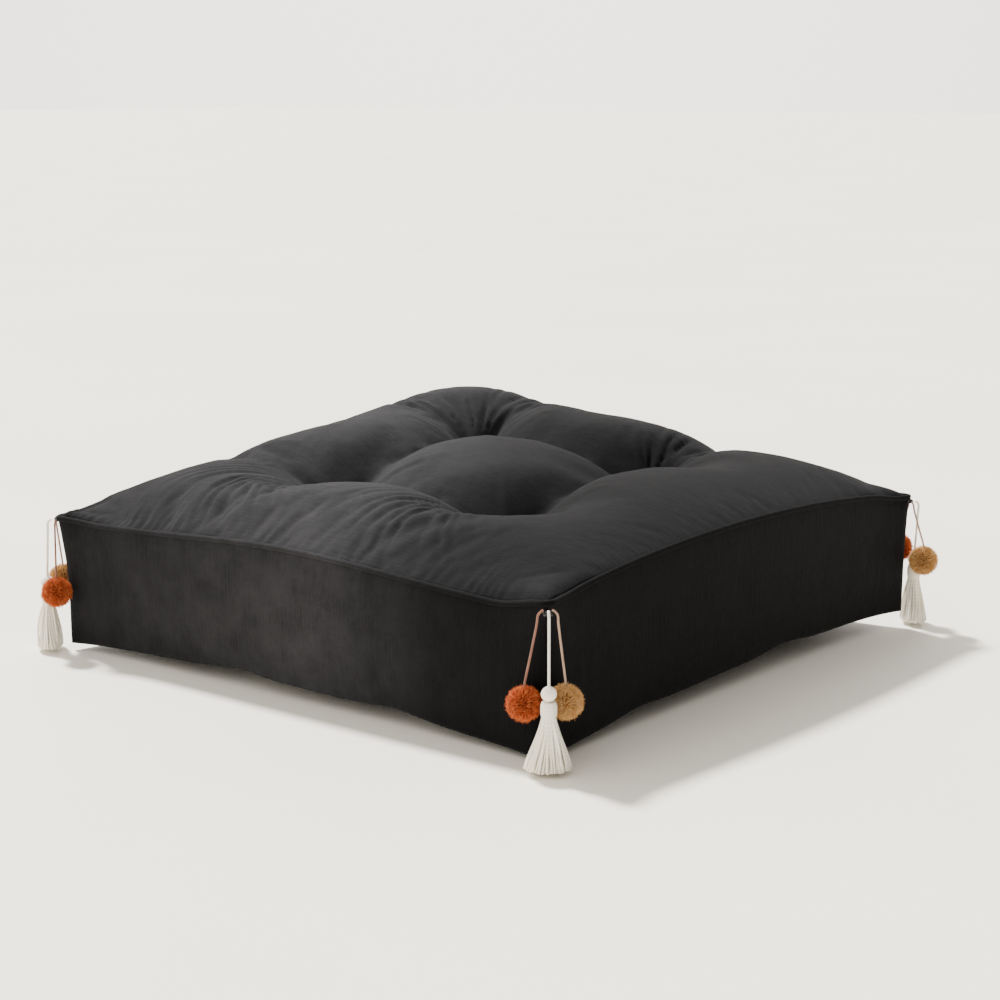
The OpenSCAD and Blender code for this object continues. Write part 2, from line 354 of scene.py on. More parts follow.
def make_velvet(name, sheen):
    """Charcoal needlecord velvet: fine ribs along the cut with painted shade in their grooves, pile
    brushed in soft patches, and painted light and shade across the plan.
    """
    m = Material(name, specular=0.04, sheen=sheen, sheen_tint=(0.72, 0.74, 0.82))
    cut, place = cut_coordinates(m), object_coordinates(m)
    ribs = m.wave(cut, RIB, distortion=0.25, detail_scale=60.0)
    patches = m.noise(place, 24.0, 6.0, 0.7)
    drawn_out = m.node("ShaderNodeMapping", {"Vector": cut, "Scale": (420.0, 22.0, 1.0)})
    streaks = m.noise(drawn_out.outputs["Vector"], 1.0, 3.0)
    grain = m.noise(place, 1400.0, 2.0)
    pile = m.ramp(patches, [(0.36, (0.0036, 0.0036, 0.0040)), (0.64, (0.0140, 0.0139, 0.0150))])
    worn = m.mix(m.remap(streaks, 0.0, 0.8), pile, (0.0156, 0.0153, 0.0166, 1))
    # Painted shade: the grooves between the ribs are darkened
    ribbed = m.mix(m.remap(ribs, 0.16, 0.0), worn, (0.003, 0.003, 0.0032, 1))
    grained = m.mix(m.remap(grain, 0.0, 0.5), ribbed, (0.024, 0.023, 0.024, 1), "SOFT_LIGHT")
    # Painted light and shade: the colour is multiplied by a ramp along the plan, dark at the front
    # right
    color = m.mix(1.0, grained, painted_light(m, place), "MULTIPLY")
    coarse = [(patches, 0.55, 0.0028), (ribs, 0.15, 0.0002)]
    fine = [(streaks, 0.6, 0.0007), (grain, 0.8, 0.0006)]
    return m.finish(color, m.remap(patches, 0.76, 0.94), coarse + fine)


def make_yarn(name, deep, middle, light):
    """Cut wool yarn: mottled between its deep, middle and light colours, with painted shade between
    the ends.
    """
    m = Material(name, specular=0.2, sheen=0.6, sheen_tint=light)
    place = object_coordinates(m)
    depth = m.node("ShaderNodeAttribute", attribute_name="depth").outputs["Fac"]
    clumps = m.noise(place, 240.0, 3.0, 0.65)
    fibres = m.noise(place, 2600.0, 2.0)
    color = m.ramp(clumps, [(0.28, deep), (0.52, middle), (0.78, light)])
    # Painted shade: darker towards the roots of the ends and on the core, by the depth attribute
    shaded = m.mix(depth, (*(0.35 * c for c in deep), 1), color)
    flecked = m.mix(m.remap(fibres, 0.0, 0.45), shaded, (*light, 1), "SOFT_LIGHT")
    return m.finish(flecked, m.remap(clumps, 0.82, 0.98), [(fibres, 0.5, 0.0003)])


def make_cotton(name, dark, light, twist=0.0018):
    """Twisted cotton thread: slanting plies with painted shade in the grooves between them, fine
    fibres and a little soiling.
    """
    m = Material(name, specular=0.3, sheen=0.25)
    cut, place = cut_coordinates(m), object_coordinates(m)
    plies = m.wave(cut, twist, distortion=0.5, detail_scale=30.0, axis="DIAGONAL")
    stain = m.noise(place, 60.0, 3.0)
    fibres = m.noise(place, 1800.0, 2.0)
    base = m.ramp(stain, [(0.3, dark), (0.7, light)])
    # Painted shade: the grooves between the plies are darkened
    grooved = m.mix(m.remap(plies, 0.35, 0.0), base, (*(0.55 * c for c in dark), 1))
    color = m.mix(m.remap(fibres, 0.0, 0.3), grooved, (*light, 1), "SOFT_LIGHT")
    bumps = [(plies, 0.5, 0.0003), (fibres, 0.3, 0.0001)]
    return m.finish(color, m.remap(stain, 0.78, 0.92), bumps)


def make_fibre(name):
    """Blown polyester stuffing: white, matted and cloudy."""
    m = Material(name, specular=0.2, sheen=0.3)
    place = object_coordinates(m)
    clouds = m.noise(place, 35.0, 5.0, 0.7)
    hairs = m.noise(place, 700.0, 3.0, 0.7)
    color = m.ramp(clouds, [(0.3, (0.66, 0.66, 0.65)), (0.7, (0.88, 0.88, 0.87))])
    return m.finish(color, m.remap(hairs, 0.86, 1.0), [(clouds, 0.5, 0.002), (hairs, 0.5, 0.0006)])


velvet = make_velvet("velvet", sheen=0.043)
# A darker copy of the velvet for the piping, with less sheen: painted shade for the shadow under
# the top's overhanging edge
shaded_piping_velvet = make_velvet("shaded_piping_velvet", sheen=0.024)
rust_yarn = make_yarn("rust_yarn", (0.24, 0.034, 0.008), (0.52, 0.110, 0.026), (0.74, 0.30, 0.12))
tan_yarn = make_yarn("tan_yarn", (0.34, 0.155, 0.045), (0.65, 0.36, 0.135), (0.86, 0.62, 0.35))
rust_cord = make_cotton("rust_cord", (0.16, 0.060, 0.035), (0.30, 0.14, 0.09))
tan_cord = make_cotton("tan_cord", (0.30, 0.19, 0.13), (0.50, 0.36, 0.27))
cream_cord = make_cotton("cream_cord", (0.78, 0.73, 0.63), (0.92, 0.88, 0.80))
cream_cotton = make_cotton("cream_cotton", (0.95, 0.88, 0.72), (1.0, 0.955, 0.84))
piping_cotton = make_cotton("piping_cotton", (0.62, 0.57, 0.48), (0.80, 0.76, 0.68), twist=0.003)
dark_thread = make_cotton("dark_thread", (0.012, 0.012, 0.013), (0.05, 0.05, 0.055), twist=0.0012)
waxed_twine = make_cotton("waxed_twine", (0.34, 0.27, 0.16), (0.58, 0.49, 0.34), twist=0.0014)
fibre_fill = make_fibre("fibre_fill")


# ---- Hanging trimmings ----

def corner_point(corner, out_x, out_y, z):
    """A point given by how far it lies out past the two faces that meet at a corner."""
    sx, sy = CORNERS[corner]
    return np.array([sx * (HALF_W + out_x), sy * (HALF_W + out_y), z])


def cord_path(corner, kind, end, extra):
    """A cord's line: its turn at the seam, a slant down to end, then on by extra points."""
    turn = TURNS[kind]
    last = turn[-1]
    slant = [
        (last[0] + way * (end[0] - last[0]), last[1] + way * (end[1] - last[1]), share)
        for way, share in SLANT
    ]
    high = TURN_Z[corner]
    points = [
        corner_point(corner, out_x, out_y, high - share * (high - end[2]))
        for out_x, out_y, share in (*turn, *slant)
    ]
    return smooth_path(points + list(extra), 40)


def plied(d):
    """Radius of a three-ply twisted cord."""
    lay = 3.2 * d

    def radius(angle, length):
        lobes = np.abs(np.cos(1.5 * (angle - 2 * math.pi * length / lay)))
        return d / 2 * (0.84 + 0.16 * lobes)

    return radius


# Length of cord from one ring of its surface to the next
CORD_STEP = 0.0006


def make_cord(corner, kind, path, d, material):
    length = float(run_along(path)[-1])
    fine = smooth_path(path, int(length / CORD_STEP))
    points, faces, uvs = sweep(fine, plied(d), 12, across=(0.3, 0.8, 0.1))
    name = f"{corner}_{kind}_cord"
    cord = add_piece(name + "_strand", points, faces, material, f"{corner}_{kind}", uvs)
    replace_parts(cord, name)


def ball_directions(count):
    """Directions spread evenly over a ball."""
    i = np.arange(count) + 0.5
    z = 1 - 2 * i / count
    turn = math.pi * (1 + 5**0.5) * i
    flat = np.sqrt(1 - z * z)
    return np.stack([np.cos(turn) * flat, np.sin(turn) * flat, z], axis=1)


def ball(middle, r, rows, around, cap, fluting=lambda turn, tilt: 1.0):
    """Vertices and faces of a closed ball. cap is the share of its half turn that each end's cap
    covers, and fluting the share of its radius that it keeps at a turn and a tilt."""
    turn, tilt = np.meshgrid(
        2 * math.pi * np.arange(around) / around, math.pi * np.linspace(cap, 1 - cap, rows + 1)
    )
    flat = r * np.sin(tilt) * fluting(turn, tilt)
    points = np.stack([flat * np.cos(turn), flat * np.sin(turn), r * np.cos(tilt)], axis=-1)
    return middle + points.reshape(-1, 3), closed_faces(rows, around)


# A pompom's ends of yarn and the finer fibres between them: how many, where they start and stop
# as shares of the radius, their width, and how unevenly they stand
YARN_LAYERS = ((1100, 0.55, 0.985, 0.00095, 0.05), (2300, 0.8, 1.04, 0.00036, 0.15))
# Along each end of yarn, from root to tip: share of its width, and how well light reaches it
YARN_ROWS = ((0.7, 0.0), (0.9, 0.45), (0.62, 1.0))
# How unevenly the ends are clipped, and how far they lean at halfway and at the tip
YARN_RAGGED = 0.022
YARN_LEANS = (0.0015, 0.004)
# The core's share of the radius, and how well light reaches it
CORE_SHARE = 0.80
CORE_LIGHT = 0.1


def yarn_end(way, lean, root, tip, width):
    """Vertices of one end of yarn, a thin four-sided stick that leans off its way out."""
    reach = POMPOM_R * (tip + rng.normal(0, YARN_RAGGED))
    start = way * POMPOM_R * root
    halfway = way * POMPOM_R * (root + tip) / 2 + lean * YARN_LEANS[0]
    end = way * reach + lean * YARN_LEANS[1]
    across = np.cross(way, [0.31, 0.52, 0.79])
    across /= np.linalg.norm(across)
    up = np.cross(way, across)
    points = []
    for at, (share, _) in zip((start, halfway, end), YARN_ROWS):
        for s in range(4):
            a = s * math.pi / 2 + lean[0]
            points.append(at + width / 2 * share * (math.cos(a) * across + math.sin(a) * up))
    return np.array(points)


def make_pompom(corner, kind, middle, material, slot):
    """A clipped ball of yarn ends standing out from a core, with finer fibres between them."""
    bundle = Bundle()
    sticks = [face[::-1] for face in closed_faces(2, 4)]
    light = []
    for count, root, tip, width, spread in YARN_LAYERS:
        ways = ball_directions(count) + rng.normal(0, spread, (count, 3))
        ways /= np.linalg.norm(ways, axis=1, keepdims=True)
        leans = rng.normal(0, spread, (count, 3))
        for way, lean in zip(ways, leans):
            bundle.add(yarn_end(way, lean, root, tip, width) + middle, sticks, np.zeros((12, 2)))
        light += [lit for _, lit in YARN_ROWS for _ in range(4)] * count
    core, core_faces = ball(middle, CORE_SHARE * POMPOM_R, 10, 16, 0.02)
    bundle.add(core, core_faces, np.zeros((len(core), 2)))
    light += [CORE_LIGHT] * len(core)
    name = f"{corner}_{kind}_pompom"
    pompom = bundle.piece(name + "_yarn", material, slot, f"{corner}_{kind}")
    # The depth attribute holds how well light reaches each vertex, for the yarn's painted shade
    attribute = pompom.data.attributes.new("depth", "FLOAT", "POINT")
    attribute.data.foreach_set("value", np.array(light, np.float32))
    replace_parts(pompom, name)
    return pompom


def thread_ridges(turn, tilt):
    """The fluting of a head: threads that run from pole to pole."""
    return 0.93 + 0.07 * np.abs(np.sin(14 * turn + 0.8 * np.sin(3 * turn))) * np.sin(tilt)


def make_head(corner, axis):
    """The ball of threads folded over the cord."""
    around = 84
    points, faces = ball(axis + (0, 0, HEAD_TOP - HEAD_R), HEAD_R, 20, around, 0.03, thread_ridges)
    round_step = 2 * math.pi * HEAD_R / around
    uvs = [(k % around * round_step, k // around * 0.0008) for k in range(len(points))]
    tassel = f"{corner}_tassel"
    name = tassel + "_head"
    head = add_piece(name + "_threads", points, faces, cream_cotton, tassel, uvs)
    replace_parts(head, name)
    return head


COLLAR_LOW = HEAD_TOP - 2 * HEAD_R - COLLAR_H
COLLAR_TURNS = 11


def make_collar(corner, axis):
    """Binding thread wound in close turns, bulging at the middle of the collar."""
    thread_r = COLLAR_H / COLLAR_TURNS / 2
    t = np.linspace(0, 1, COLLAR_TURNS * 30)
    bulge = COLLAR_R - thread_r - 0.0011 * (2 * t - 1) ** 4
    z = COLLAR_LOW + thread_r + (COLLAR_H - 2 * thread_r) * t
    bundle = Bundle()
    bundle.add(*sweep(winding(axis, 2 * math.pi * COLLAR_TURNS * t, bulge, z), thread_r * 1.06, 7))
    core = upright(axis, COLLAR_LOW + 0.0003 + (COLLAR_H - 0.0006) * np.linspace(0, 1, 7))
    bundle.add(*sweep(core, COLLAR_R - 1.6 * thread_r, 24, across=(1, 0, 0)))
    tassel = f"{corner}_tassel"
    collar = bundle.piece(tassel + "_collar_winding", cream_cotton, "cream_cotton", tassel)
    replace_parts(collar, tassel + "_collar")
    return collar


# A tassel's skirt: half its size at the cut end along the corner and across it, and its threads
SKIRT_HALF_W = 0.0195
SKIRT_HALF_T = 0.0125
SKIRT_THREADS = 150
THREAD_R = 0.00105


def corner_ways(corner):
    """Level unit vectors along a corner, square to its diagonal, and outward from it."""
    sx, sy = CORNERS[corner]
    return np.array([-sy, sx, 0]) / math.sqrt(2), np.array([sx, sy, 0]) / math.sqrt(2)


def skirt_thread(share, turn):
    """A thread's places along the corner, outward from it and in height, and its radius. share
    is 0 for the bundle's middle thread and 1 for its outermost."""
    wide = (SKIRT_HALF_W + rng.normal(0, 0.0010)) * share * math.cos(turn)
    deep = (SKIRT_HALF_T + rng.normal(0, 0.0008)) * share * math.sin(turn)
    start = 0.0048 * share
    sway = rng.normal(0, 0.0011, 2)
    low = SKIRT_LIFT + 0.0010 + abs(rng.normal(0, 0.0011)) + 0.0016 * share**4
    high = COLLAR_LOW + 0.003
    t = np.linspace(0, 1, 13)
    flare = 0.30 * t + 0.70 * t**1.7 if share > 0.5 else t
    flare = np.minimum(1.30 * flare - 0.30 * flare**3, 1.0)
    bow = np.sin(math.pi * t)
    a = start * math.cos(turn) * (1 - flare) + wide * flare + sway[0] * bow
    b = start * math.sin(turn) * (1 - flare) + deep * flare + sway[1] * bow
    return a, b, high + (low - high) * t, THREAD_R + rng.normal(0, 0.00006)


def make_skirt(corner, axis):
    """Cotton threads that leave the collar together and spread to a cut end, flatter across
    the corner than along it."""
    along, outward = corner_ways(corner)
    bundle = Bundle()
    for k in range(SKIRT_THREADS):
        share = math.sqrt((k + 0.5) / SKIRT_THREADS)
        a, b, z, radius = skirt_thread(share, k * math.pi * (3 - 5**0.5))
        path = axis + np.outer(a, along) + np.outer(b, outward) + np.outer(z, (0, 0, 1))
        bundle.add(*sweep(path, radius, 6, across=(0.7, 0.7, 0.1)))
    tassel = f"{corner}_tassel"
    skirt = bundle.piece(tassel + "_skirt_threads", cream_cotton, "cream_cotton", tassel)
    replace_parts(skirt, tassel + "_skirt")
    return skirt


def make_corner_trimmings(corner):
    pompoms = (("rust", RUST_AT, rust_yarn, rust_cord), ("tan", TAN_AT, tan_yarn, tan_cord))
    for kind, at, yarn, cord in pompoms:
        out_x, out_y, z = at[corner]
        middle = corner_point(corner, out_x, out_y, z)
        pompom = make_pompom(corner, kind, middle, yarn, kind + "_yarn")
        path = cord_path(corner, kind, (out_x, out_y, z + POMPOM_R), [middle + (0, 0, 0.002)])
        make_cord(corner, kind, path, POMPOM_CORD_D, cord)
    out_x, out_y = TASSEL_AT[corner]
    axis = corner_point(corner, out_x, out_y, 0)
    tassel = [make_head(corner, axis), make_collar(corner, axis), make_skirt(corner, axis)]
    inside = [axis + (0, 0, HEAD_TOP - 0.012), axis + (0, 0, 0.046)]
    path = cord_path(corner, "tassel", (out_x, out_y, HEAD_TOP), inside)
    make_cord(corner, "tassel", path, TASSEL_CORD_D, cream_cord)


for corner_name in CORNERS:
    make_corner_trimmings(corner_name)


# ---- The cushion's surfaces ----

CELLS = 108
CELLS_UP = 20
# Height of the top seam along each side: beside the corners, its rise at the middle, and the
# power of its hump
SEAMS = {
    "front": (0.137, 0.021, 1),
    "back": (0.137, 0.014, 1),
    "left": (0.131, 0.0115, 3),
    "right": (0.137, 0.014, 1),
}
# Heights of the top and bottom seams at the corners, which pucker up or sag on their own
CORNER_TOP = {"front_left": 0.141, "back_left": 0.134, "front_right": 0.137, "back_right": 0.137}
CORNER_BOTTOM = {"front_left": 0.004, "back_left": 0.007, "front_right": 0.017, "back_right": 0.012}
BOTTOM_RISE = 0.009
# Places along each side where the bottom seam arches off the floor
ARCHES = {
    "front": (-0.53, 0.30),
    "back": (-0.35, 0.40),
    "left": (-0.43, 0.25),
    "right": (-0.30, 0.45),
}
ARCH_RISE = 0.005
ARCH_W = 0.13
# How far the top corners reach past the sides, and how far the corner edges tuck in below them
EAR = 0.0045
CORNER_TUCK = {
    "front_left": 0.0105,
    "back_left": 0.0065,
    "front_right": 0.0030,
    "back_right": 0.0105,
}
PULL_IN = 0.006
SIDE_TUCK = 0.004
SIDE_BULGE = 0.005
# Share of the half width over which the bottom curves up to its seam
LIFT_SHARE = 0.30
# Heights of the nine puffs, from the front row to the back row, each from left to right
PUFF_TOPS = ((0.172, 0.186, 0.184), (0.171, 0.176, 0.200), (0.168, 0.196, 0.220))
PUFF_SHARE = 0.62
SHOULDER = 0.50
SHOULDER_POWER = 2.3
VALLEY_DEPTH = 0.013
VALLEY_W = 0.030
PIT_DEPTH = 0.028
PIT_R = 0.078
CROWN_POWER = 0.85
# How much fuller than its surroundings the crown is at each corner
CORNER_FULL = {"front_left": 0.35, "back_left": 0.42, "front_right": 0.14, "back_right": 0.35}
# The cover's edges lie this far inside the piping's centre line
SEAM_INSET = 0.0024
# The cloth within this far of a twine is held by its stitch
HELD_R = 0.0035
PANELS = ["top", "bottom", "front", "back", "left", "right"]


def step(x):
    x = np.clip(x, 0, 1)
    return x * x * (3 - 2 * x)


def pull(r, reach):
    """Pull of a tuft at a distance r, from 1 at the twine to 0 at the edge of its pit."""
    return (1 - np.clip(r / reach, 0, 1) ** 2) ** 2


def tuft_distance(x, y):
    return np.hypot(np.abs(x) - TUFT_AT, np.abs(y) - TUFT_AT)


def corner_mix(values, u, v):
    """The corners' values blended over the plan."""
    return sum(
        values[name] * (1 + sx * u) / 2 * (1 + sy * v) / 2 for name, (sx, sy) in CORNERS.items()
    )


def seam_out(t):
    return SEAM_HALF - SEAM_INSET - PULL_IN * (1 - np.abs(t) ** 8) + EAR * np.abs(t) ** 16


def on_side(side, t):
    """u and v at t from -1 to 1 along a side."""
    fixed = np.full_like(t, -1.0 if side in ("front", "left") else 1.0)
    return (t, fixed) if side in ("front", "back") else (fixed, t)


def seam_height(side, t):
    low, rise, power = SEAMS[side]
    ear = step((np.abs(t) - 0.8) / 0.2)
    corner = corner_mix(CORNER_TOP, *on_side(side, np.where(t < 0, -1.0, 1.0)))
    return (low + rise * (1 - t * t) ** power) * (1 - ear) + corner * ear


def bottom_height(side, t):
    arches = sum(np.exp(-(((t - at) / ARCH_W) ** 2)) for at in ARCHES[side])
    return (
        corner_mix(CORNER_BOTTOM, *on_side(side, t))
        + (BOTTOM_RISE + ARCH_RISE * arches) * (1 - t * t)
    )


def corner_half(tuck, w):
    return SEAM_HALF - SEAM_INSET + EAR - tuck * (1 - w**3)


def side_half(u, w, tuck):
    """Half width of the boxing at u along a side and w up it."""
    bulge = SIDE_BULGE * 4 * w * (1 - w)
    at_middle = SEAM_HALF - SEAM_INSET - PULL_IN - SIDE_TUCK * (1 - w) + bulge
    blend = np.abs(u) ** 8
    return corner_half(tuck, w) * blend + at_middle * (1 - blend)


def base_height(u, v):
    """Height of the top seam on the rim, carried across the middle."""
    across_y = seam_height("front", u) * (1 - v) / 2 + seam_height("back", u) * (1 + v) / 2
    across_x = seam_height("left", v) * (1 - u) / 2 + seam_height("right", v) * (1 + u) / 2
    return across_y + across_x - corner_mix(CORNER_TOP, u, v)


def puff_height(u, v):
    """The nine puffs' heights, blended smoothly from one to the next."""

    def shares(t):
        low, high = step(-t / PUFF_SHARE), step(t / PUFF_SHARE)
        return low, 1 - low - high, high

    rows, columns = shares(v), shares(u)
    return sum(rows[a] * columns[b] * PUFF_TOPS[a][b] for a in range(3) for b in range(3))


def shoulder(t):
    """Share of the crown's height at t across: full in the middle, none at the seam."""
    return 1 - (np.clip(np.abs(t) - SHOULDER, 0, 1) / (1 - SHOULDER)) ** SHOULDER_POWER


def valleys(x, y):
    """Soft channels along the lines through the tufts. Outside the tufts they run on at half
    depth or less towards the back and the right, and die out towards the front and the left."""

    def channel(a, b, faded):
        across = np.exp(-(((np.abs(a) - TUFT_AT) / VALLEY_W) ** 2))
        outside = step((np.abs(b) - TUFT_AT) / 0.10)
        return across * (1 - np.where(b < 0, 1.0, faded) * outside)

    return np.maximum(channel(x, y, 0.9), channel(y, x, np.where(y < 0, -0.5, 0.6)))


def crown(u, v, x, y, pits):
    """Height of the top. pits is 1 with the tufts pulled down, and 0 without."""
    low = base_height(u, v)
    a, b = shoulder(u), shoulder(v)
    roundness = CROWN_POWER - corner_mix(CORNER_FULL, u, v) * (u * v) ** 4
    edge = (a * b / np.maximum(a + b - a * b, 1e-6)) ** roundness
    valley = VALLEY_DEPTH * valleys(x, y) * a * b
    pit = pits * PIT_DEPTH * pull(tuft_distance(x, y), PIT_R)
    return low + (puff_height(u, v) - low) * edge - valley - pit


def make_lattice():
    """The welded box of cells: vertices as (i, j, k), quads, and each quad's panel."""
    index, places, quads, panels = {}, [], [], []

    def vertex(i, j, k):
        if (i, j, k) not in index:
            index[i, j, k] = len(places)
            places.append((i, j, k))
        return index[i, j, k]

    def quad(panel, *corners):
        quads.append([vertex(*c) for c in corners])
        panels.append(PANELS.index(panel))

    n, m = CELLS, CELLS_UP
    for i in range(n):
        for j in range(n):
            quad("top", (i, j, m), (i + 1, j, m), (i + 1, j + 1, m), (i, j + 1, m))
            quad("bottom", (i, j, 0), (i, j + 1, 0), (i + 1, j + 1, 0), (i + 1, j, 0))
        for k in range(m):
            quad("front", (i, 0, k), (i + 1, 0, k), (i + 1, 0, k + 1), (i, 0, k + 1))
            quad("back", (i + 1, n, k), (i, n, k), (i, n, k + 1), (i + 1, n, k + 1))
            quad("left", (0, i + 1, k), (0, i, k), (0, i, k + 1), (0, i + 1, k + 1))
            quad("right", (n, i, k), (n, i + 1, k), (n, i + 1, k + 1), (n, i, k + 1))
    return np.array(places), quads, np.array(panels), index


class Lattice:
    """The cushion's closed skin, as sewn, before the stuffing presses it out."""

    def __init__(self):
        places, self.quads, self.panels, self.index = make_lattice()
        self.u = 2 * places[:, 0] / CELLS - 1
        self.v = 2 * places[:, 1] / CELLS - 1
        self.w = places[:, 2] / CELLS_UP
        self.is_top = places[:, 2] == CELLS_UP
        self.is_bottom = places[:, 2] == 0
        self.rim = (np.abs(self.u) == 1) | (np.abs(self.v) == 1)
        self.relaxed = self.shape(pits=0.0)
        self.start = self.shape(pits=1.0)
        self.tufted = self.is_top & (tuft_distance(self.start[:, 0], self.start[:, 1]) < HELD_R)

    def underside(self, tuck):
        """Where each vertex would lie on the bottom."""
        u, v = self.u, self.v
        x, y = u * side_half(v, 0, tuck), v * side_half(u, 0, tuck)
        lift = np.clip((np.abs([u, v]) - 1 + LIFT_SHARE) / LIFT_SHARE, 0, 1) ** 1.3
        by_x = np.where(u < 0, bottom_height("left", v), bottom_height("right", v))
        by_y = np.where(v < 0, bottom_height("front", u), bottom_height("back", u))
        seam = np.where(np.abs(u) > np.abs(v), by_x, by_y)
        dimples = DIMPLE_DEPTH * pull(tuft_distance(x, y), DIMPLE_R)
        return np.stack([x, y, seam * np.minimum(1, np.hypot(*lift)) + dimples], axis=1)

    def shape(self, pits):
        u, v, w = self.u, self.v, self.w
        x, y = u * seam_out(v), v * seam_out(u)
        points = np.stack([x, y, crown(u, v, x, y, pits)], axis=1)
        tuck = corner_mix(CORNER_TUCK, u, v)
        points[self.is_bottom] = self.underside(tuck)[self.is_bottom]
        side = ~self.is_top & ~self.is_bottom
        sides = (("left", -u, v), ("right", u, v), ("front", -v, u), ("back", v, u))
        for name, across, along in sides:
            low, high = bottom_height(name, along), seam_height(name, along)
            out = side_half(along, w, tuck) * (1 if name in ("right", "back") else -1)
            flat = along * corner_half(tuck, w)
            placed = (out, flat) if name in ("left", "right") else (flat, out)
            here = side & (across == 1)
            points[here] = np.stack([*placed, low + (high - low) * w], axis=1)[here]
        return points


# ---- Cloth simulation of the cover ----

FRAMES = 16
PRESSURE = 9.0
# Spare cloth as a share of its size, and the spare that the left and the back have on top of it
SLACK_TOP = 0.016
SLACK_LEFT = 0.012
SLACK_BACK = 0.010
SLACK_SIDE = 0.001
# No vertex moves further than this
MOVE_CAP = 0.026
# Depth and width of the crease between two tufts, and of the nick at its bottom
CREASE = 0.009
CREASE_W = 0.024
NICK = 0.0035
NICK_W = 0.006


def top_slack(lattice):
    """How much spare cloth the top has: most beside the left seam, least by the front."""
    x, y = lattice.start[:, 0], lattice.start[:, 1]
    left = step((-x - 0.02) / 0.16)
    back = step((y - 0.02) / 0.16)
    front = step((-y - 0.05) / 0.14)
    return (SLACK_TOP + SLACK_LEFT * left + SLACK_BACK * back) * (1 - 0.8 * front)


def make_cloth(lattice, slack):
    """The cover as one mesh, held at its seams, and drawn tighter where it has less slack."""
    mesh = bpy.data.meshes.new("cover_cloth")
    mesh.from_pydata(lattice.start.tolist(), [], lattice.quads)
    cloth = bpy.data.objects.new("cover_cloth", mesh)
    bpy.context.scene.collection.objects.link(cloth)
    held = (lattice.is_top & lattice.rim) | lattice.is_bottom | lattice.tufted
    cloth.vertex_groups.new(name="pinned").add(np.nonzero(held)[0].tolist(), 1.0, "REPLACE")
    tight = cloth.vertex_groups.new(name="tight")
    for level in range(1, 11):
        members = np.nonzero(np.round(10 * (1 - slack / slack.max())) == level)[0]
        tight.add(members.tolist(), level / 10, "REPLACE")
    cloth.shape_key_add(name="start")
    relaxed = cloth.shape_key_add(name="relaxed")
    relaxed.data.foreach_set("co", lattice.relaxed.astype(np.float32).ravel())
    return cloth, relaxed


def press_out(cloth, relaxed, most_slack):
    """Runs the simulation and returns the vertices at its end."""
    modifier = cloth.modifiers.new("Cloth", "CLOTH")
    settings = modifier.settings
    settings.rest_shape_key = relaxed
    settings.quality = 5
    settings.mass = 0.3
    settings.air_damping = 1.0
    settings.tension_stiffness = 15
    settings.compression_stiffness = 15
    settings.shear_stiffness = 5
    settings.bending_stiffness = 0.5
    settings.use_pressure = True
    settings.uniform_pressure_force = PRESSURE
    settings.vertex_group_mass = "pinned"
    settings.vertex_group_shrink = "tight"
    settings.shrink_min = -most_slack
    settings.shrink_max = 0.0
    settings.effector_weights.gravity = 0
    modifier.collision_settings.use_collision = False
    modifier.point_cache.frame_start = 1
    modifier.point_cache.frame_end = FRAMES
    for number in range(1, FRAMES + 1):
        bpy.context.scene.frame_set(number)
    return vertices_of(cloth.evaluated_get(bpy.context.evaluated_depsgraph_get()).to_mesh())


def stuff(lattice):
    """The cover's vertices after its filling has pressed it out."""
    on_sides = np.where(lattice.is_bottom, 0.0, SLACK_SIDE)
    slack = np.where(lattice.is_top, top_slack(lattice), on_sides)
    cloth, relaxed = make_cloth(lattice, slack)
    moved = press_out(cloth, relaxed, slack.max()) - lattice.start
    bpy.data.objects.remove(cloth)
    bpy.context.scene.frame_set(1)
    far = np.linalg.norm(moved, axis=1, keepdims=True)
    return lattice.start + moved * np.minimum(1, MOVE_CAP / np.maximum(far, 1e-9))


def creases(x, y):
    """The tight crease between each tuft and the next, round the middle puff."""

    def crease(a, b):
        off = np.abs(np.abs(a) - TUFT_AT)
        between = step((TUFT_AT + 0.030 - np.abs(b)) / 0.040)
        wide = CREASE * np.exp(-((off / CREASE_W) ** 2))
        return between * (wide + NICK * np.exp(-off / NICK_W))

    return np.maximum(crease(x, y), crease(y, x))


lattice = Lattice()
skin = stuff(lattice)
skin[:, 2] -= np.where(lattice.is_top, creases(skin[:, 0], skin[:, 1]), 0)


# ---- The cover's pieces ----

BOXING_CUT = 0.13


def cut_uvs():
    """Where each vertex lies on each panel's flat cloth: (across the ribs, along them)."""
    flat_x, flat_y, up = lattice.u * SEAM_HALF, lattice.v * SEAM_HALF, lattice.w * BOXING_CUT
    plan = np.stack([flat_x, flat_y], axis=1)
    facing_y = np.stack([flat_x, up], axis=1)
    facing_x = np.stack([flat_y, up], axis=1)
    return np.stack([plan, plan, facing_y, facing_y, facing_x, facing_x])


def skin_mesh(points):
    """The whole skin as one mesh, with each panel's cut coordinates and sharp seams."""
    mesh = bpy.data.meshes.new("skin")
    mesh.from_pydata(points.tolist(), [], lattice.quads)
    mesh.polygons.foreach_set("material_index", lattice.panels.astype(np.int32))
    layer = mesh.uv_layers.new(name="cut")
    uvs = cut_uvs()[lattice.panels[:, None], np.array(lattice.quads)]
    layer.data.foreach_set("uv", uvs.astype(np.float32).ravel())
    edges = read(mesh.edges, "vertices", 2, np.int32)
    sewn = (lattice.is_top | lattice.is_bottom) & lattice.rim
    crease = mesh.attributes.new("crease_edge", "FLOAT", "EDGE")
    crease.data.foreach_set("value", sewn[edges].all(axis=1).astype(np.float32))
    return mesh


def modified(piece):
    """A new mesh: what the piece's modifiers make of its own."""
    evaluated = piece.evaluated_get(bpy.context.evaluated_depsgraph_get())
    return bpy.data.meshes.new_from_object(evaluated)


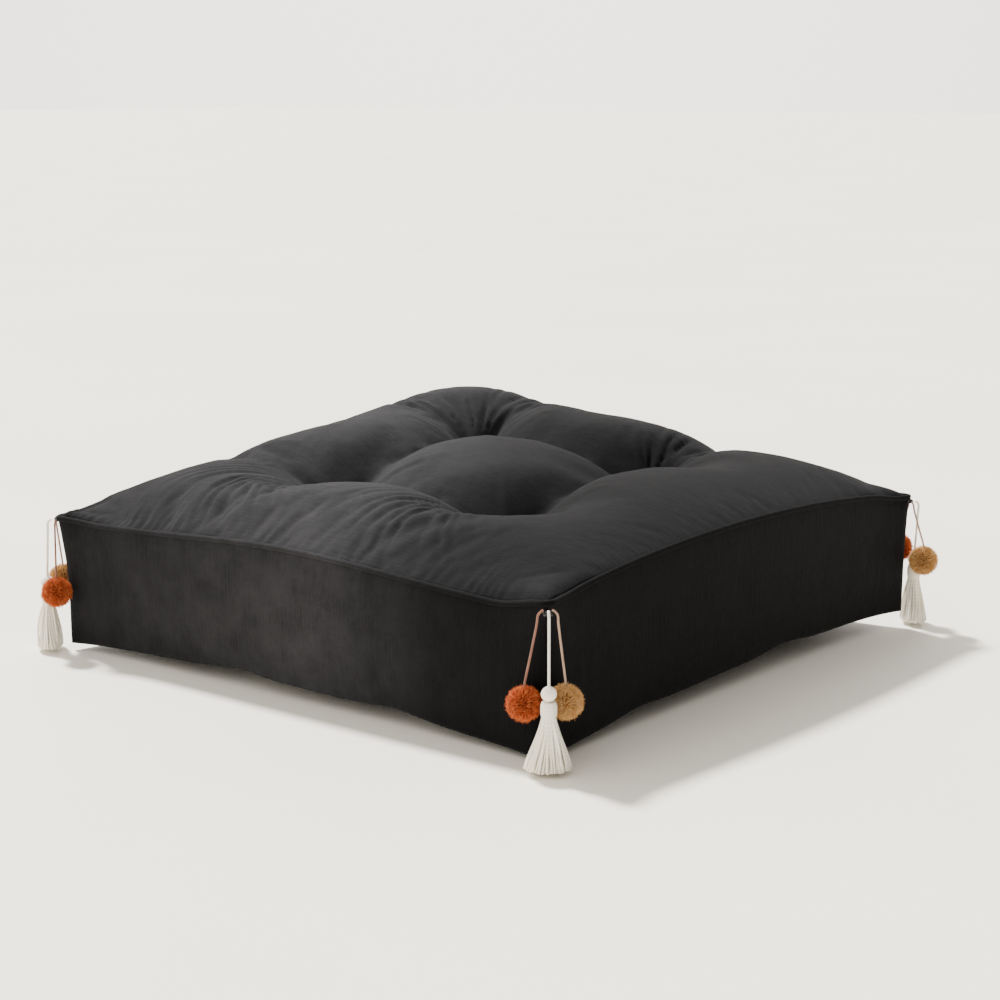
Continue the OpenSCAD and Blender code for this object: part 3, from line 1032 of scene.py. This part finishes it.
def finer(mesh):
    """The mesh after one level of subdivision."""
    holder = bpy.data.objects.new("holder", mesh)
    bpy.context.scene.collection.objects.link(holder)
    modifier = holder.modifiers.new("Subdivision", "SUBSURF")
    modifier.levels = modifier.render_levels = 1
    made = modified(holder)
    bpy.data.objects.remove(holder)
    return made


# Depth of the gathers at the seam and their spacing, and depth of the folds at the tufts
PUCKER = 0.0028
PUCKER_STEP = 0.0115
FOLD = 0.0046
# Fans of folds round the tufts: signs of x and y, heading in degrees, turn of the heading in
# degrees per metre, spread in degrees, folds in a full turn, where they start and where they end
FANS = (
    (-1, 1, 135, 225, 40, 46, 0.020, 0.205),
    (-1, -1, 145, 170, 34, 46, 0.020, 0.210),
    (1, 1, 45, 0, 75, 24, 0.008, 0.080),
    (1, 1, 85, 0, 22, 40, 0.045, 0.150),
    (1, 1, 5, 0, 22, 40, 0.045, 0.150),
    (1, -1, 12, 0, 45, 26, 0.008, 0.085),
    (1, -1, 10, 0, 22, 40, 0.050, 0.150),
)


def wander(s, seed, reach):
    """A smooth wavering between -1 and 1 along a length, different for each seed."""
    turns = np.random.default_rng(seed).uniform(0, 2 * math.pi, 4)
    return sum(np.sin(s * k / reach + turn) for k, turn in zip((1.0, 1.7, 2.9, 4.3), turns)) / 2.4


def gathers(s):
    """Rounded ridges with narrow grooves between them, one for each unit of s."""
    return np.abs(np.sin(math.pi * s)) ** 0.6 - 0.72


def seam_puckers(x, y):
    """Small gathers where the top is sewn to the piping, running in from the seam."""
    total = np.zeros_like(x)
    sides = ((-x, y, 1.0), (-y, x, 0.15), (x, y, 0.6), (y, x, 0.6))
    for seed, (out, along, strength) in enumerate(sides):
        depth = seam_out(along / SEAM_HALF) - out
        share = np.clip(0.5 + wander(along, seed, 0.060), 0, 1) * strength
        reach = 0.016 + 0.008 * wander(along, seed + 10, 0.050)
        fading = np.clip(depth / 0.004, 0, 1) * np.exp(-np.maximum(depth, 0) / reach)
        uneven = 0.9 * wander(along, seed + 20, 0.045) + 8.0 * depth * wander(along, seed + 30, 0.1)
        total += share * fading * gathers(along / PUCKER_STEP + uneven)
    return PUCKER * total


def tuft_folds(x, y):
    """Folds that fan out from the tufts, each within its own sector and reach."""
    total = np.zeros_like(x)
    for seed, (sx, sy, heading, bow, spread, count, near, far) in enumerate(FANS):
        dx, dy = x - sx * TUFT_AT, y - sy * TUFT_AT
        r = np.hypot(dx, dy)
        off = (np.degrees(np.arctan2(dy, dx)) - heading - bow * r + 180) % 360 - 180
        turn = np.radians(off)
        sector = np.exp(-((off / spread) ** 2))
        reach = far - near
        fading = step((r - near) / (0.4 * reach)) * step((far - r) / (0.6 * reach))
        bend = 0.35 * wander(turn, seed + 40, 0.25) + 2.0 * r * wander(turn, seed + 50, 0.5)
        total += sector * fading * gathers(turn * count / (2 * math.pi) + bend)
    return FOLD * total


def gathered(mesh):
    """Presses the puckers and folds into the top."""
    points = vertices_of(mesh)
    normals = read(mesh.vertex_normals, "vector")
    x, y = points[:, 0], points[:, 1]
    height = seam_puckers(x, y) + tuft_folds(x, y)
    top = step((normals[:, 2] - 0.15) / 0.3) * (points[:, 2] > 0.10)
    points += normals * (height * top)[:, None]
    mesh.vertices.foreach_set("co", points.astype(np.float32).ravel())
    mesh.update()
    return mesh


fine_skin = gathered(finer(skin_mesh(skin)))


def make_panel(panel, node):
    """One panel of the skin, cut out along its seams and given the cloth's thickness."""
    panels = read(fine_skin.polygons, "material_index", 1, np.int32)
    starts = read(fine_skin.polygons, "loop_start", 1, np.int32)
    corner_vertex = read(fine_skin.loops, "vertex_index", 1, np.int32)
    corner_uv = read(fine_skin.uv_layers["cut"].data, "uv", 2)
    mine = starts[panels == PANELS.index(panel)][:, None] + np.arange(4)
    used, quads = np.unique(corner_vertex[mine], return_inverse=True)
    quads = quads.reshape(-1, 4)
    uvs = np.zeros((len(used), 2))
    uvs[quads.ravel()] = corner_uv[mine.ravel()]
    points = vertices_of(fine_skin)[used]
    piece = add_piece(node + "_cloth", points, quads.tolist(), velvet, "cushion", uvs)
    solid = piece.modifiers.new("Thickness", "SOLIDIFY")
    solid.thickness = COVER_T
    solid.offset = -1
    made = modified(piece)
    piece.modifiers.clear()
    piece.data = made
    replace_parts(piece, node)


make_panel("top", "cover_top")
make_panel("bottom", "cover_bottom")
for side_name in ("front", "back", "left", "right"):
    make_panel(side_name, "side_panel_" + side_name)


# ---- Piping round the top seam ----

def seam_line(points):
    """The top seam's points in order round the cushion, moved out to the piping's centre."""
    n, m = CELLS, CELLS_UP
    ring = [(i, 0) for i in range(n)] + [(n, j) for j in range(n)]
    ring += [(n - i, n) for i in range(n)] + [(0, n - j) for j in range(n)]
    line = points[[lattice.index[i, j, m] for i, j in ring]]
    ahead = np.roll(line, -1, axis=0) - np.roll(line, 1, axis=0)
    outward = np.stack([ahead[:, 1], -ahead[:, 0], 0 * ahead[:, 0]], axis=1)
    outward /= np.linalg.norm(outward, axis=1, keepdims=True)
    line = line + SEAM_INSET * outward
    for _ in range(2):
        line = 0.5 * line + 0.25 * (np.roll(line, 1, axis=0) + np.roll(line, -1, axis=0))
    halves = 0.5 * (line + np.roll(line, -1, axis=0))
    return np.stack([line, halves], axis=1).reshape(-1, 3)


def make_piping():
    """The piping's sleeve, cut on the bias, and the cotton cord inside it."""
    line = seam_line(skin)
    wobble = rng.uniform(0, 2 * math.pi, 4)

    def uneven(angle, length):
        soft = sum(np.sin(length * k + w) for k, w in zip((610, 940, 223, 381), wobble)) / 4
        return PIPING_R * (0.965 + 0.035 * soft)

    points, faces, uvs = sweep(line, uneven, 14, closed=True)
    bias = np.stack([uvs[:, 1] + uvs[:, 0], uvs[:, 1] - uvs[:, 0]], axis=1) * 0.7
    # The sleeve takes the velvet copy with less sheen, painted shade for the shadow under the top's
    # edge
    sleeve = add_piece("top_piping_sleeve", points, faces, shaded_piping_velvet, "cushion", bias)
    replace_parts(sleeve, "top_piping")
    points, faces, uvs = sweep(line, PIPING_CORD_R, 8, closed=True)
    name = "piping_cord"
    core = add_piece(name + "_core", points, faces, piping_cotton, "cushion", uvs)
    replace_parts(core, name)


make_piping()


# ---- Filling ----

FILLING_INSET = 0.0045
FILLING_LOW = 0.0035


def make_filling():
    """The stuffing: the skin drawn in by the cloth's thickness and a little more."""
    mesh = bpy.data.meshes.new("filling_draft")
    mesh.from_pydata(skin.tolist(), [], lattice.quads)
    inner = skin - read(mesh.vertex_normals, "vector") * FILLING_INSET
    inner[:, 2] = np.maximum(inner[:, 2], FILLING_LOW)
    piece = add_piece("filling_fibre", inner, lattice.quads, fibre_fill, "cushion")
    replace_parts(piece, "filling")


make_filling()


# ---- Threads of the tufts and corners ----

TWINE_R = 0.0008
STITCH_R = 0.0007
STITCH_HALF = 0.0040
KNOT_R = 0.0026
WRAP_R = 0.0006


def tuft_tops():
    """The four places where the tufts hold the top down."""
    return [
        skin[lattice.tufted & (np.sign(lattice.u) == sx) & (np.sign(lattice.v) == sy)].mean(axis=0)
        for sx in (-1, 1)
        for sy in (-1, 1)
    ]


def stitch_lines(top):
    """Two short threads, side by side, that lie over a tuft."""
    t = np.linspace(-1, 1, 15)
    z = top[2] + 0.0022 * (1 - t**4) - 0.0004
    return [
        np.stack([top[0] + STITCH_HALF * t + off, top[1] + STITCH_HALF * t - off, z], axis=1)
        for off in (-0.0008, 0.0008)
    ]


def make_tuft_threads():
    """Each tuft's twine through the cushion, its stitch on top and its knot below."""
    twines, stitches, knots = Bundle(), Bundle(), Bundle()
    low = DIMPLE_DEPTH - COVER_T
    for top in tuft_tops():
        column = upright(top, low + (top[2] - low) * np.linspace(0, 1, 13))
        twines.add(*sweep(column, TWINE_R, 8, across=(1, 0, 0)))
        for line in stitch_lines(top):
            stitches.add(*sweep(line, STITCH_R, 8))
        turn = np.linspace(0, 2 * math.pi * 2.5, 60)
        coil = winding(top, turn, KNOT_R, low - 0.0030 + 0.0009 * turn / 6.3)
        knots.add(*sweep(coil, TWINE_R, 8))
        for way in (0.6, 3.6):
            t = np.linspace(0, 1, 10)
            tail = winding(top, way + t, 0.002 + 0.009 * t, low - 0.0018 - 0.0012 * t)
            knots.add(*sweep(tail, STITCH_R, 8))
    for bundle, node, material, slot in (
        (twines, "tuft_twines", waxed_twine, "waxed_twine"),
        (stitches, "tuft_stitches", dark_thread, "dark_thread"),
        (knots, "tuft_knots", waxed_twine, "waxed_twine"),
    ):
        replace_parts(bundle.piece(node + "_thread", material, slot, "cushion"), node)


def make_corner_tacks():
    """A few wraps of thread that hold the three cords against each corner."""
    bundle = Bundle()
    turn = np.linspace(0, 2 * math.pi * 4, 80)
    for corner in CORNERS:
        along, outward = corner_ways(corner)
        wraps = (
            corner_point(corner, -0.0016, -0.0016, TACK_Z + 0.0006)
            + np.outer(0.0038 * (2 * turn / turn[-1] - 1), along)
            + np.outer(0.0024 * np.cos(turn), outward)
            + np.outer(0.0016 * np.sin(turn), (0, 0, 1))
        )
        bundle.add(*sweep(wraps, WRAP_R, 6, across=along))
    tacks = bundle.piece("corner_tacks_thread", dark_thread, "dark_thread", "cushion")
    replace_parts(tacks, "corner_tacks")


make_tuft_threads()
make_corner_tacks()


# ---- Floor and light ----

FLOOR_HALF = 30
# The key light: strength, width in degrees, colour, and the way that it shines
KEY = 10.2
KEY_WIDTH = 7
KEY_COLOR = (1.0, 0.975, 0.94)
KEY_WAY = (-0.19, -0.76, -1.0)
# The studio's soft light from all round, and its brighter parts: direction, strength, sharpness
WORLD_COLOR = (1.0, 0.965, 0.90, 1)
WORLD_BASE = 0.30
WORLD_LOBES = (((-1.0, 0.30, 0.35), 2.1, 3.0), ((0.77, 0.63, 0.05), 3.0, 7.0))


def make_floor():
    m = Material("floor", specular=0.3)
    mottle = m.noise(object_coordinates(m), 1.6, 4.0)
    color = m.ramp(mottle, [(0.3, (0.90, 0.85, 0.765)), (0.7, (0.94, 0.895, 0.81))])
    mesh = bpy.data.meshes.new("floor")
    h = FLOOR_HALF
    mesh.from_pydata([(-h, -h, 0), (h, -h, 0), (h, h, 0), (-h, h, 0)], [], [(0, 1, 2, 3)])
    mesh.materials.append(m.finish(color, m.remap(mottle, 0.5, 0.7)))
    floor = bpy.data.objects.new("floor", mesh)
    bpy.context.scene.collection.objects.link(floor)


def make_key_light():
    sun = bpy.data.lights.new("key", "SUN")
    sun.energy = KEY
    sun.angle = math.radians(KEY_WIDTH)
    sun.color = KEY_COLOR
    key = bpy.data.objects.new("key", sun)
    key.rotation_euler = Vector(KEY_WAY).to_track_quat("-Z", "Y").to_euler()
    bpy.context.scene.collection.objects.link(key)


def make_world():
    """A pale studio: brightest at the left and behind the cushion, dim in front of its right."""
    world = bpy.data.worlds.new("studio")
    world.use_nodes = True
    tree = world.node_tree
    way = add_node(tree, "ShaderNodeTexCoord").outputs["Generated"]

    def math_node(operation, *inputs):
        made = add_node(tree, "ShaderNodeMath", dict(enumerate(inputs)), operation=operation)
        return made.outputs[0]

    total = WORLD_BASE
    for toward, power, sharp in WORLD_LOBES:
        inputs = {0: way, 1: Vector(toward).normalized()}
        facing = add_node(tree, "ShaderNodeVectorMath", inputs, operation="DOT_PRODUCT")
        half = math_node("MULTIPLY_ADD", facing.outputs["Value"], 0.5, 0.5)
        total = math_node("MULTIPLY_ADD", math_node("POWER", half, sharp), power, total)
    background = tree.nodes["Background"]
    background.inputs["Color"].default_value = WORLD_COLOR
    tree.links.new(total, background.inputs["Strength"])
    bpy.context.scene.world = world


make_floor()
make_key_light()
make_world()
